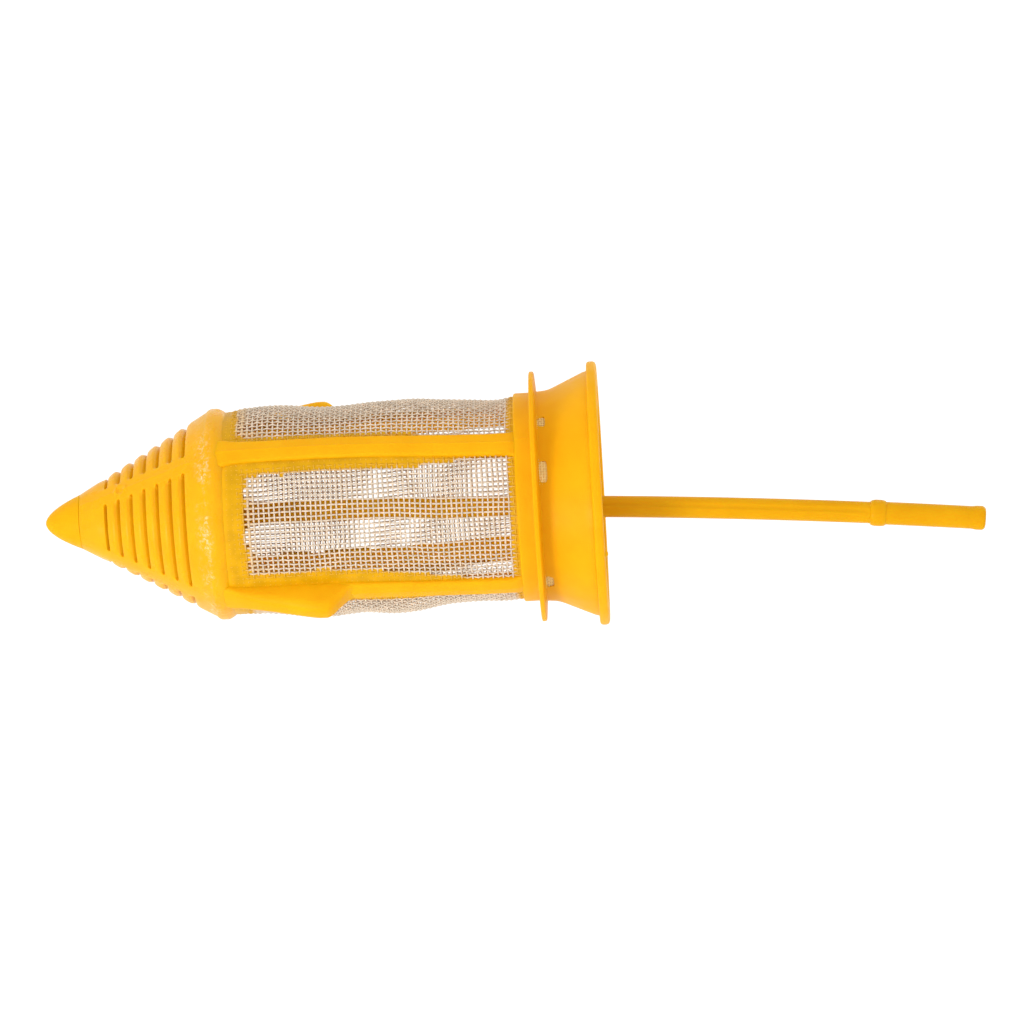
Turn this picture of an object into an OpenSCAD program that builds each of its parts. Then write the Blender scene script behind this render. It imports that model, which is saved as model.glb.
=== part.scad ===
// Wasp trap insert: a louvred nose and a mesh cage that snap into a tube, with a funnel mouth
// and a pull rod. Origin: centre of the seat face of the flange. +Z points out of the mouth.

/* [Cage] */
// Outer radius of the collar under the seat flange
collar_r = 17.7; // [17.2:0.1:18.2]
// Length of the collar
collar_len = 2.85; // [2:0.05:5]
// Distance from the seat face to the top of the nose ring
cage_len = 51.6; // [40:0.2:70]
// Inner radius of the collar and the ribs
cage_inner_r = 15.9; // [15.2:0.1:16.2]
// Distance from the axis to the outer face of a rib
rib_face_r = 17.8; // [17.5:0.1:18]
// Width of a rib
rib_w = 4.2; // [2:0.1:5]
// Outer radius of the mesh panels
mesh_r = 17.3; // [17:0.05:17.4]
// Thickness of the mesh panels
mesh_t = 0.5; // [0.3:0.05:0.8]

/* [Snap latches] */
// How far a latch stands out from its rib
latch_h = 4.2; // [1:0.1:5]
// Distance from the seat face to the foot of the latch step
latch_step_z = 32.8; // [28:0.1:34]
// Length of the sloping step behind the highest point
latch_step_len = 4; // [1:0.1:5]

/* [Nose] */
// Height of the ring that joins the nose to the cage
ring_h = 3.1; // [2:0.1:5]
// Outer radius of the ring
ring_r = 18; // [17.9:0.05:18.4]
// Height of the louvred cone
cone_h = 22.7; // [21:0.1:26]
// Radius of the cone where the tip is fitted
cone_small_r = 4.7; // [4:0.05:5]
// Wall thickness of the cone, measured along its radius
cone_wall = 1.5; // [1.2:0.1:1.8]
// Number of slots in each sector
slot_count = 7; // [5:1:8]
// Distance from one slot to the next
slot_pitch = 2.335; // [2:0.05:2.5]
// Height of a slot
slot_h = 0.6; // [0.4:0.05:0.9]
// Distance from the cone's small end to the first slot
first_slot = 5.1; // [4:0.05:5.5]
// How far a slot runs towards the cage on its way through the wall
slot_slant = 0.9; // [0:0.1:1.2]
// Width of the plain spine left between two sectors
spine_w = 3.1; // [2:0.1:4]
// Height of the tip
tip_h = 6.2; // [4:0.1:8]

/* [Flange and funnel] */
// Outer radius of the seat flange
flange_r = 21.25; // [20:0.05:24]
// Thickness of the seat flange at its root
flange_t = 1.05; // [0.8:0.05:1.5]
// Height of the neck between the flange and the flare
neck_h = 1.7; // [1.2:0.1:3]
// Height of the flare
flare_h = 7; // [5:0.1:10]
// Outer radius at the wide end of the flare
flare_r = 20.75; // [19.5:0.05:21.5]
// Wall thickness of the neck and flare
funnel_wall = 1.4; // [1:0.1:1.6]
// Outer radius of the mouth lip
lip_r = 22.4; // [22:0.1:24]
// Height of the mouth lip
lip_h = 1.75; // [1.2:0.05:3]

/* [Rod] */
// Radius of the stem
stem_r = 1.85; // [1.7:0.05:2.2]
// Radius of the curve that the stem follows
bend_r = 1264; // [1000:10:5000]
// Direction that the stem leans towards, as an angle from +X
bend_angle = 33.5; // [0:0.5:360]
// Distance from the seat face to the stop collar
stop_z = 56.7; // [30:0.1:80]
// Height of the stop collar
stop_h = 2.7; // [1.5:0.1:5]
// Radius of the stop collar
stop_r = 2.25; // [2.25:0.05:3]
// Length of the grip, with its end bead
grip_len = 16.9; // [10:0.1:40]
// Radius of the grip
grip_r = 1.93; // [1.9:0.01:2.2]
// Radius of the foot of the rod
foot_r = 1.75; // [1.4:0.05:1.75]
// Length of the foot of the rod
foot_len = 9; // [6:0.5:9]
// Running clearance round the foot
foot_gap = 0.05; // [0.03:0.01:0.08]

/* [Hidden] */
$fn = 96;

plastic = "orange";
plastic_dark = "darkorange";
nylon = "ivory";

ring_top_z = -cage_len;
ring_base_z = ring_top_z - ring_h;
cone_base_z = ring_base_z - cone_h;
cone_big_r = collar_r - 0.05;
cone_rise = (cone_big_r - cone_small_r) / cone_h;

// Solid floor at the cone's small end, the spigot of the tip that fills it, and the rod socket
cone_floor_h = 2;
spigot_r = 2.4;
socket_r = 3.2;
socket_z = cone_base_z + cone_floor_h;
socket_h = foot_len + 1;
socket_bore_r = foot_r + foot_gap;
socket_mouth_z = socket_z + socket_h;
foot_z = socket_mouth_z - foot_len;

neck_z = flange_t;
flare_z = neck_z + neck_h;
lip_z = flare_z + flare_h;
neck_r = collar_r + 0.1;

// Centre angles, in degrees from +X, and widths of the neck windows: one set, and the same set
// again on the other side of the neck
window_angles = [-100.5, -69.5, -2];
window_widths = [2, 3.7, 2.9];
window_h = 1.3;

// Distances along the curve of the rod, from the socket's mouth
stem_len = stop_z - socket_mouth_z;
grip_end_h = 2;

flute_count = 4;
flute_r = 0.6;
flute_depth = 0.16;
flute_angle = 58;

// Louvre blades: how far their crowns lie inside the cone, and how far their edges drop from that
lobe_steps = 8;
lobe_inset = 0.04;
lobe_dip = 0.34;

// Radius of the plain cone at height h above its small end
function cone_r(h) = cone_small_r + cone_rise * h;

// Outline of the tip from its apex: the radius grows as a power of the distance from the apex
tip_steps = 16;
tip_power = 0.55;
function tip_points() = [
    for (i = [0 : tip_steps])
        let (t = pow(i / tip_steps, 1.6))
        [cone_small_r * 0.98 * pow(t, tip_power), tip_h * t]];

// Rise of a blade over its edges, from 0 at both edges to 1 at its crown past the middle
function lobe_rise(t) = pow(sin(180 * pow(t, 1.15)), 0.65);

// Outer points of one louvre blade, from its lower edge over its crown to its upper edge
function lobe_points(h0, h1) = [
    for (i = [0 : lobe_steps])
        let (t = i / lobe_steps, h = h0 + (h1 - h0) * t)
        [cone_r(h) - lobe_inset - lobe_dip * (1 - lobe_rise(t)), h]];

// Point in the cone's wall on the slanted line from height h on the outer face: depth 0 is the
// outer face and depth 1 the inner face
function wall_point(h, depth) = [
    cone_r(h) + (cone_rise * slot_slant - cone_wall) * depth,
    h + slot_slant * depth];

function slot_top(i) = first_slot + i * slot_pitch;

module tube(inner_r, outer_r, h) {
    difference() {
        cylinder(r = outer_r, h = h);
        translate([0, 0, -1]) cylinder(r = inner_r, h = h + 2);
    }
}

// Pointed cap with a spigot that fills the hole in the cone's floor
module nose_tip() color(plastic) translate([0, 0, cone_base_z - tip_h]) {
    rotate_extrude() polygon(concat(tip_points(), [[0, tip_h]]));
    translate([0, 0, tip_h - 0.5]) cylinder(r = spigot_r, h = cone_floor_h + 0.5);
}

// Plain wall of the cone, with a floor that the spigot of the tip goes through
module plain_cone() rotate_extrude() polygon([
    [spigot_r, 0],
    [cone_r(0), 0],
    [cone_r(cone_h), cone_h],
    [cone_r(cone_h) - cone_wall, cone_h],
    [cone_r(cone_floor_h) - cone_wall, cone_floor_h],
    [spigot_r, cone_floor_h]]);

// Quarter of the band of the cone's wall that the blades fill, between two spines
module sector_cut(h0, h1) intersection() {
    rotate_extrude() polygon([
        wall_point(h0, -1),
        wall_point(h1, -1),
        wall_point(h1, 2),
        wall_point(h0, 2)]);
    translate([spine_w / 2, spine_w / 2, 0]) cube([30, 30, 40]);
}

// Curved blade between two slots, as a ring that passes through the four spines
module louvre_blade(h0, h1) rotate_extrude() polygon(concat(
    lobe_points(h0, h1),
    [wall_point(h1, 1) + [lobe_inset, 0], wall_point(h0, 1) + [lobe_inset, 0]]));

module nose_cone() color(plastic) translate([0, 0, cone_base_z]) {
    difference() {
        plain_cone();
        for (side = [0 : 3])
            rotate([0, 0, 90 * side]) sector_cut(first_slot - slot_h, slot_top(slot_count - 1));
    }
    for (i = [0 : slot_count - 2])
        louvre_blade(slot_top(i), slot_top(i + 1) - slot_h);
}

// Boss that holds the foot of the rod
module rod_socket() color(plastic) translate([0, 0, socket_z]) difference() {
    cylinder(r = socket_r, h = socket_h);
    translate([0, 0, socket_h - foot_len - 0.1]) cylinder(r = socket_bore_r, h = foot_len + 1);
}

// Moulded ring over the joint between the cone and the cage
module weld_ring() color(plastic) translate([0, 0, ring_base_z]) rotate_extrude() polygon([
    [cage_inner_r - 0.3, 0],
    [cone_big_r, 0],
    [ring_r - 0.12, ring_h * 0.25],
    [ring_r, ring_h * 0.55],
    [ring_r - 0.1, ring_h * 0.8],
    [ring_r - 0.5, ring_h],
    [cage_inner_r - 0.3, ring_h]]);

module rib(side) color(plastic) rotate([0, 0, 90 * side])
    translate([cage_inner_r, -rib_w / 2, ring_top_z])
        cube([rib_face_r - cage_inner_r, rib_w, cage_len - collar_len]);

// Ramp on a rib: it rises from the nose ring and steps down towards the flange
module snap_latch(side) color(plastic) rotate([0, 0, 90 * side])
    translate([rib_face_r, rib_w / 2, 0]) rotate([90, 0, 0]) linear_extrude(rib_w) {
        peak_z = -latch_step_z - latch_step_len;
        polygon([
            [0, ring_top_z],
            [latch_h * 0.42, (ring_top_z + peak_z) / 2],
            [latch_h * 0.95, peak_z - 1],
            [latch_h, peak_z],
            [latch_h * 0.93, peak_z + latch_step_len * 0.22],
            [latch_h * 0.42, peak_z + latch_step_len * 0.64],
            [latch_h * 0.12, peak_z + latch_step_len * 0.84],
            [0, -latch_step_z]]);
    }

// One window of the mesh sleeve, between the facing sides of two ribs
module mesh_panel(side) color(nylon) rotate([0, 0, 90 * side])
    translate([0, 0, ring_top_z]) difference() {
        rotate_extrude(angle = 90)
            translate([mesh_r - mesh_t, 0]) square([mesh_t, cage_len - collar_len]);
        translate([0, -rib_w / 2, -1]) cube([30, rib_w, cage_len + 2]);
        translate([-rib_w / 2, 0, -1]) cube([rib_w, 30, cage_len + 2]);
    }

// Sleeve that ends the cage and carries the flange round its upper end
module collar() color(plastic) translate([0, 0, -collar_len])
    tube(cage_inner_r, collar_r, collar_len + flange_t);

// Disc round the collar: flat towards the nose, where it seats, and thinner at its rim
module seat_flange() color(plastic) rotate_extrude() polygon([
    [collar_r, 0],
    [flange_r - 0.15, 0],
    [flange_r, 0.15],
    [flange_r, flange_t * 0.65],
    [flange_r - 0.15, flange_t * 0.8],
    [neck_r, flange_t],
    [collar_r, flange_t]]);

module neck_window(width) translate([10, -width / 2, (neck_h - window_h) / 2])
    cube([15, width, window_h]);

module funnel_neck() color(plastic_dark) translate([0, 0, neck_z]) difference() {
    tube(neck_r - funnel_wall, neck_r, neck_h);
    for (turn = [0, 180], i = [0 : 2])
        rotate([0, 0, window_angles[i] + turn]) neck_window(window_widths[i]);
}

module funnel_flare() color(plastic) translate([0, 0, flare_z]) rotate_extrude() polygon([
    [neck_r - funnel_wall, 0],
    [neck_r, 0],
    [flare_r - 0.25, flare_h * 0.86],
    [flare_r, flare_h],
    [flare_r - funnel_wall, flare_h]]);

module mouth_lip() color(plastic) translate([0, 0, lip_z]) rotate_extrude() polygon([
    [flare_r - funnel_wall, 0],
    [lip_r - 0.35, 0],
    [lip_r - 0.08, 0.2],
    [lip_r, 0.5],
    [lip_r, lip_h - 0.75],
    [lip_r - 0.12, lip_h - 0.35],
    [lip_r - 0.55, lip_h],
    [flare_r - funnel_wall, lip_h]]);

// Stub left by the moulding gate on the face of the lip
module gate_nub() color(plastic) rotate([0, 0, bend_angle - 61])
    translate([lip_r - 1.3, 0, lip_z + lip_h]) cylinder(r1 = 0.55, r2 = 0.35, h = 0.45);

// Places its children at distance s along the rod's curve, with +Z along the rod
module on_curve(s) rotate([0, 0, bend_angle]) translate([
    bend_r * (1 - cos(s / bend_r * 180 / PI)),
    0,
    socket_mouth_z + bend_r * sin(s / bend_r * 180 / PI)])
    rotate([0, s / bend_r * 180 / PI, 0]) children();

// Sweeps its 2D children along the rod's curve from distance s0 to s1
module along_curve(s0, s1) rotate([0, 0, bend_angle]) translate([bend_r, 0, socket_mouth_z])
    rotate([90, 0, 0]) rotate([0, 0, 180 - s1 / bend_r * 180 / PI])
        rotate_extrude(angle = (s1 - s0) / bend_r * 180 / PI, $fn = 2000)
            translate([bend_r, 0]) children();

module rod_foot() color(plastic) translate([0, 0, foot_z]) {
    cylinder(r1 = foot_r - 0.4, r2 = foot_r, h = 0.6);
    translate([0, 0, 0.6]) cylinder(r = foot_r, h = foot_len - 0.6);
}

module stem_section() difference() {
    circle(r = stem_r, $fn = 48);
    for (i = [0 : flute_count - 1])
        rotate(flute_angle + 360 / flute_count * i)
            translate([stem_r + flute_r - flute_depth, 0]) circle(r = flute_r, $fn = 24);
}

module rod_stem() color(plastic) along_curve(0, stem_len) stem_section();

module stop_collar() color(plastic) on_curve(stem_len) rotate_extrude() polygon([
    [0, 0],
    [stem_r, 0],
    [stop_r - 0.1, stop_h * 0.3],
    [stop_r, stop_h * 0.5],
    [stop_r - 0.1, stop_h * 0.75],
    [grip_r, stop_h],
    [0, stop_h]]);

module grip() color(plastic)
    along_curve(stem_len + stop_h, stem_len + stop_h + grip_len - grip_end_h)
        circle(r = grip_r, $fn = 48);

module grip_end() color(plastic) on_curve(stem_len + stop_h + grip_len - grip_end_h)
    rotate_extrude() polygon([
        [0, 0],
        [grip_r, 0],
        [grip_r + 0.12, grip_end_h * 0.4],
        [grip_r + 0.12, grip_end_h - 0.45],
        [grip_r - 0.3, grip_end_h],
        [0, grip_end_h]]);

nose_tip();
nose_cone();
rod_socket();
weld_ring();
rib(0);  // latch_rib_a
rib(1);  // plain_rib_a
rib(2);  // latch_rib_b
rib(3);  // plain_rib_b
snap_latch(0);  // snap_latch_a
snap_latch(2);  // snap_latch_b
mesh_panel(0);  // mesh_panel_a
mesh_panel(1);  // mesh_panel_b
mesh_panel(2);  // mesh_panel_c
mesh_panel(3);  // mesh_panel_d
collar();
seat_flange();
funnel_neck();
funnel_flare();
mouth_lip();
gate_nub();
rod_foot();
rod_stem();
stop_collar();
grip();
grip_end();
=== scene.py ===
"""Looks of the trap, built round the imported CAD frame: a louvred nose, weld ring, ribs and funnel
mouth in yellow plastic, four woven nylon panels with plastic bled into their edges, and a pull rod.

Shapes are worked out in millimetres and become metres when a mesh is made. The axis of the trap
is Z, and angles about it are in degrees from +X."""

import math

import bpy
from mathutils import Matrix, Vector, noise


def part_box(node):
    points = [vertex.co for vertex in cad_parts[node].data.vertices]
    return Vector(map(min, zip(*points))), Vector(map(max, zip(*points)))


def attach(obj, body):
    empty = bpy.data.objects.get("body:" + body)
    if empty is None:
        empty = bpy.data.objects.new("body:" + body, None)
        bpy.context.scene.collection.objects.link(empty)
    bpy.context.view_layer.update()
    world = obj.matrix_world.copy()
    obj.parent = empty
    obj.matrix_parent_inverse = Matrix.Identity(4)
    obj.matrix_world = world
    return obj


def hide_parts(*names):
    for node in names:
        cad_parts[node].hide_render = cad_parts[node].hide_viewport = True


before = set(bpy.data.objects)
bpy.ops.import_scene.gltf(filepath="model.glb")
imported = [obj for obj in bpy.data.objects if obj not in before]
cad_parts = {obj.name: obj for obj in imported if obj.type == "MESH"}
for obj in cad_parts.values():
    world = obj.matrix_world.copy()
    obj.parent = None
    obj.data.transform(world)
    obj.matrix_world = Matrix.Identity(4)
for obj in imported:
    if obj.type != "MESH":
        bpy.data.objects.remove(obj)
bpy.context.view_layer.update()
scene = bpy.context.scene

MM = 0.001


def box_mm(node):
    """Lowest and highest corner of a CAD node at rest, in millimetres."""
    low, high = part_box(node)
    return Vector(low) / MM, Vector(high) / MM


# Sizes read from the CAD frame
TIP_Z = box_mm("nose_tip")[0].z
CONE_Z = box_mm("nose_cone")[0].z
CONE_BIG_R = box_mm("nose_cone")[1].x
RING_Z, RING_TOP = box_mm("weld_ring")[0].z, box_mm("weld_ring")[1].z
RING_R = box_mm("weld_ring")[1].x
RIB_FACE_R = box_mm("plain_rib_a")[1].y
RIB_INNER_R = box_mm("plain_rib_a")[0].y
RIB_W = box_mm("plain_rib_a")[1].x * 2
LATCH_R = box_mm("snap_latch_a")[1].x
COLLAR_R = box_mm("collar")[1].x
COLLAR_Z = box_mm("collar")[0].z
FLANGE_R = box_mm("seat_flange")[1].x
FLANGE_T = box_mm("seat_flange")[1].z
NECK_R = box_mm("funnel_neck")[1].x
FLARE_Z, FLARE_TOP = box_mm("funnel_flare")[0].z, box_mm("funnel_flare")[1].z
FLARE_R = box_mm("funnel_flare")[1].x
LIP_R = box_mm("mouth_lip")[1].x
LIP_TOP = box_mm("mouth_lip")[1].z

# Sizes that the boxes of the nodes don't give
CONE_SMALL_R = 4.7
CONE_WALL = 1.5
CONE_FLOOR = 2.0
SPIGOT_R = 2.4
SPINE_W = 3.1
SLOT_COUNT = 7
SLOT_PITCH = 2.335
SLOT_H = 0.6
FIRST_SLOT_TOP = 5.1
SLOT_SLANT = 0.9
FUNNEL_WALL = 1.4
COLLAR_INNER_R = 15.9
SOCKET_MOUTH_Z = -65.4
BEND_R = 1264.0
BEND_ANGLE = 33.5
STOP_Z = 56.7
STOP_H = 2.7
STOP_R = 2.25
GRIP_LEN = 16.9
GRIP_R = 1.93
STEM_R = 1.85
GRIP_END_H = 2.0


# ---------------------------------------------------------------- small helpers
def polar(radius, angle, height):
    """Point at a radius and an angle about the axis."""
    a = math.radians(angle)
    return Vector((radius * math.cos(a), radius * math.sin(a), height))


def smooth(x, low=0.0, high=1.0):
    """0 below low, 1 above high and a smooth step between them."""
    t = min(max((x - low) / (high - low), 0.0), 1.0)
    return t * t * (3 - 2 * t)


def mix(a, b, t):
    """a where t is 0, b where t is 1, and in proportion between."""
    return a + (b - a) * t


def ripple(x, y=0.0, seed=0.0):
    """Smooth noise from -1 to 1, the same in every run."""
    return noise.noise(Vector((x, y, 7.31 * seed)))


def spread(low, high, step):
    """Values from low to high in equal steps no longer than step."""
    count = max(1, math.ceil((high - low) / step))
    return [low + (high - low) * i / count for i in range(count + 1)]


def add_piece(name, points, faces, material, body="cage", replaces=(), sharp=35):
    """Makes a mesh piece from millimetre points and hangs it on a body of the frame."""
    mesh = bpy.data.meshes.new(name)
    mesh.from_pydata([p * MM for p in points], [], faces)
    mesh.update()
    mesh.shade_smooth()
    mesh.set_sharp_from_angle(angle=math.radians(sharp))
    mesh.materials.append(material)
    piece = bpy.data.objects.new(name, mesh)
    scene.collection.objects.link(piece)
    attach(piece, body)
    if replaces:
        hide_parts(*replaces)
    return piece


def shell(outer, inner, keep, wrap, origins=None):
    """Closed shell between the point grids outer[i][j] and inner[i][j].

    Cells for which keep(i, j) is false stay open, with walls round them. With wrap the last
    column joins the first. A list given as origins gets the (side, i, j) of every point, with
    side 0 for outer and 1 for inner."""
    columns, rows = len(outer), len(outer[0])
    cell_columns = columns if wrap else columns - 1
    points, faces, index = [], [], {}

    def vertex(side, i, j):
        key = (side, i % columns, j)
        if key not in index:
            index[key] = len(points)
            points.append((outer, inner)[side][key[1]][j])
        return index[key]

    def kept(i, j):
        if wrap:
            i %= columns
        return 0 <= i < cell_columns and 0 <= j < rows - 1 and keep(i, j)

    for i in range(cell_columns):
        for j in range(rows - 1):
            if not kept(i, j):
                continue
            corners = [(i, j), (i + 1, j), (i + 1, j + 1), (i, j + 1)]
            faces.append([vertex(0, *c) for c in corners])
            faces.append([vertex(1, *c) for c in reversed(corners)])
            beyond = [(i, j - 1), (i + 1, j), (i, j + 1), (i - 1, j)]
            for a, b, cell in zip(corners, corners[1:] + corners[:1], beyond):
                if not kept(*cell):
                    faces.append([vertex(0, *b), vertex(0, *a), vertex(1, *a), vertex(1, *b)])
    if origins is not None:
        origins.extend(index)
    return points, faces


def band_faces(first, rows, sides):
    """Quads between closed rows of sides points each, which follow one another from first."""
    faces = []
    for a in range(first, first + (rows - 1) * sides, sides):
        for k in range(sides):
            n = (k + 1) % sides
            faces.append([a + k, a + n, a + sides + n, a + sides + k])
    return faces


def revolve(profile, steps=96, place=Matrix.Identity(4)):
    """Solid of revolution of (radius, height) points that start and end on the axis."""
    points = [place @ Vector((0, 0, profile[0][1]))]
    for radius, height in profile[1:-1]:
        for k in range(steps):
            points.append(place @ polar(radius, 360 * k / steps, height))
    points.append(place @ Vector((0, 0, profile[-1][1])))
    last = len(points) - 1
    faces = band_faces(1, len(profile) - 2, steps)
    for k in range(steps):
        n = (k + 1) % steps
        faces.append([0, 1 + n, 1 + k])
        faces.append([last, last - steps + k, last - steps + n])
    return points, faces


def loft(sections):
    """Solid through closed sections of equally many points, with flat ends."""
    sides = len(sections[0])
    points = [p for section in sections for p in section]
    faces = band_faces(0, len(sections), sides)
    faces.append(list(reversed(range(sides))))
    faces.append(list(range(len(points) - sides, len(points))))
    return points, faces


# ---------------------------------------------------------------- materials
FIBRE_PALE = (0.95, 0.64, 0.36)
YELLOW = (0.80, 0.392, 0.003)
YELLOW_DEEP = (0.76, 0.352, 0.002)


def new_material(name, specular=0.3):
    """New material, with its nodes and links."""
    material = bpy.data.materials.new(name)
    material.use_nodes = True
    nodes = material.node_tree.nodes
    nodes["Principled BSDF"].inputs["Specular IOR Level"].default_value = specular
    return material, nodes, material.node_tree.links


def add_noise(nodes, links, coords, scale, detail=2.0, roughness=0.5, distortion=0.0):
    """Noise from about 0.2 to 0.8. Its scale is in cells per metre: at 500 a cell is 2 mm wide."""
    texture = nodes.new("ShaderNodeTexNoise")
    texture.inputs["Scale"].default_value = scale
    texture.inputs["Detail"].default_value = detail
    texture.inputs["Roughness"].default_value = roughness
    texture.inputs["Distortion"].default_value = distortion
    links.new(coords, texture.inputs["Vector"])
    return texture.outputs["Fac"]


def add_range(nodes, links, value, from_low, from_high, to_low=0.0, to_high=1.0):
    """A value carried over from one range to another, and held at the ends of that range."""
    node = nodes.new("ShaderNodeMapRange")
    for socket, number in zip(node.inputs[1:5], (from_low, from_high, to_low, to_high)):
        socket.default_value = number
    links.new(value, node.inputs[0])
    return node.outputs[0]


def add_product(nodes, links, a, b):
    """Product of two node outputs."""
    node = nodes.new("ShaderNodeMath")
    node.operation = "MULTIPLY"
    links.new(a, node.inputs[0])
    links.new(b, node.inputs[1])
    return node.outputs[0]


def add_mix(nodes, links, factor, a, b):
    """Mix of two colours, each a colour tuple or a node's output."""
    node = nodes.new("ShaderNodeMix")
    node.data_type = "RGBA"
    links.new(factor, node.inputs["Factor"])
    for socket, colour in ((node.inputs[6], a), (node.inputs[7], b)):
        if isinstance(colour, tuple):
            socket.default_value = (*colour, 1)
        else:
            links.new(colour, socket)
    return node.outputs[2]


def add_bump(nodes, links, heights, shader):
    """Chain of bumps on a shader. heights holds (height, strength, distance in mm)."""
    normal = None
    for height, strength, distance in heights:
        node = nodes.new("ShaderNodeBump")
        node.inputs["Strength"].default_value = strength
        node.inputs["Distance"].default_value = distance * MM
        links.new(height, node.inputs["Height"])
        if normal:
            links.new(normal, node.inputs["Normal"])
        normal = node.outputs["Normal"]
    links.new(normal, shader.inputs["Normal"])


def plastic(name, light, deep, gloss=(0.36, 0.5), specular=0.06, weld_band=None):
    """Moulded plastic with a mottled colour, a patchy gloss and a fine skin of bumps.

    weld_band gives heights between which pale fibres show near the skin and it is lumpy."""
    material, nodes, links = new_material(name, specular)
    shader = nodes["Principled BSDF"]
    coords = nodes.new("ShaderNodeTexCoord").outputs["Object"]
    cloud = add_noise(nodes, links, coords, 170, 3)
    colour = add_mix(nodes, links, add_range(nodes, links, cloud, 0.3, 0.7), light, deep)
    patches = add_noise(nodes, links, coords, 420, 3)
    skin = add_noise(nodes, links, coords, 3200, 2)
    flow = add_noise(nodes, links, coords, 260, 2)
    bumps = [(flow, 0.25, 0.12), (skin, 0.22, 0.02)]
    roughness = add_range(nodes, links, patches, 0.3, 0.7, *gloss)
    if weld_band:
        parts = nodes.new("ShaderNodeSeparateXYZ")
        links.new(coords, parts.inputs[0])
        low, high = (z * MM for z in weld_band)
        rise = add_range(nodes, links, parts.outputs["Z"], low, low + 1.2 * MM)
        fall = add_range(nodes, links, parts.outputs["Z"], high, high - 1.2 * MM)
        band = add_product(nodes, links, rise, fall)
        fibres = add_noise(nodes, links, coords, 1500, 4, 0.7, 0.6)
        patchy = add_range(nodes, links, add_noise(nodes, links, coords, 230, 2), 0.39, 0.6)
        spots = add_product(nodes, links, add_range(nodes, links, fibres, 0.5, 0.68), patchy)
        spots = add_product(nodes, links, spots, band)
        colour = add_mix(nodes, links, spots, colour, FIBRE_PALE)
        lumps = add_product(nodes, links, fibres, band)
        bumps.append((lumps, 0.7, 0.12))
    links.new(colour, shader.inputs["Base Color"])
    links.new(roughness, shader.inputs["Roughness"])
    shader.inputs["Subsurface Weight"].default_value = 0.35
    shader.inputs["Subsurface Radius"].default_value = (1.0, 0.5, 0.1)
    shader.inputs["Subsurface Scale"].default_value = 1.5 * MM
    add_bump(nodes, links, bumps, shader)
    return material


def coated(name, bare, coat, roughness, grain, clearness, specular=0.3):
    """Material whose colour goes from bare to coat with the mesh attribute called coat.

    roughness holds its lowest and highest value, grain is the noise scale of its skin, and
    clearness is the share of light that passes through it."""
    material, nodes, links = new_material(name, specular)
    shader = nodes["Principled BSDF"]
    coords = nodes.new("ShaderNodeTexCoord").outputs["Object"]
    attribute = nodes.new("ShaderNodeAttribute")
    attribute.attribute_name = "coat"
    cloud = add_noise(nodes, links, coords, 500, 2)
    darker = tuple(c * 0.84 for c in bare)
    base = add_mix(nodes, links, add_range(nodes, links, cloud, 0.35, 0.65), bare, darker)
    colour = add_mix(nodes, links, attribute.outputs["Fac"], base, coat)
    links.new(colour, shader.inputs["Base Color"])
    rough = add_noise(nodes, links, coords, 900, 2)
    links.new(add_range(nodes, links, rough, 0.3, 0.7, *roughness), shader.inputs["Roughness"])
    skin = add_noise(nodes, links, coords, grain, 3)
    add_bump(nodes, links, [(skin, 0.4, 0.04)], shader)
    shader.inputs["Transmission Weight"].default_value = clearness
    return material


moulded = plastic("moulded_yellow", YELLOW, YELLOW_DEEP)
welded = plastic("welded_yellow", YELLOW, YELLOW_DEEP, (0.2, 0.42), 0.12,
                 weld_band=(RING_Z - 2.2, RING_Z + 1.3))
rod_yellow = plastic("rod_yellow", (0.70, 0.345, 0.002), (0.65, 0.305, 0.001), (0.3, 0.42))
film_yellow = coated("bled_film", (0.66, 0.335, 0.002), YELLOW, (0.3, 0.45), 1400, 0.0, 0.1)
nylon = coated("nylon_thread", (0.90, 0.75, 0.58), (0.80, 0.43, 0.02), (0.28, 0.42), 5000, 0.25)
soaked_nylon = coated("soaked_nylon", (0.98, 0.73, 0.28), (0.95, 0.58, 0.13), (0.3, 0.45), 3000,
                      0.0)


# ---------------------------------------------------------------- nose
SKIN_INSET = 0.02  # how far the moulded skins stay inside the CAD surface
# Places of the mesh rows from one slot to the next, and of the columns across a spine
BLADE_PLACES = (0, 0.02, 0.06, 0.12, 0.2, 0.32, 0.45, 0.58, 0.7, 0.8, 0.88, 0.94, 0.98, 1)
SPINE_PLACES = (-1, -0.7, -0.4, -0.16, -0.06, 0, 0.06, 0.16, 0.4, 0.7)
GATE_SPINE = 3  # number of the spine that carries the scar of the gate
GATE_H = 7.5  # height of the scar above the cone's small end


def cone_r(h):
    """Radius of the plain cone at height h above its small end."""
    return mix(CONE_SMALL_R, CONE_BIG_R, h / (RING_Z - CONE_Z))


def slot_top(i):
    """Height of the upper edge of slot i above the cone's small end."""
    return FIRST_SLOT_TOP + i * SLOT_PITCH


def blade_rise(t):
    """Height of a blade's arched face: a steep lower edge, a crown, and a fall to the next slot."""
    arch = max(math.sin(math.pi * t**1.15), 0.0) ** 0.65
    return mix(0.35, 1.0, arch) - 0.9 * smooth(t, 0.56, 1.0)


def blade_drop(angle):
    """Depth of the blades' edges under their crowns: shallower on one side of the mould."""
    return 0.34 - 0.14 * max(0.0, math.cos(math.radians(angle - 34))) ** 2


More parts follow.
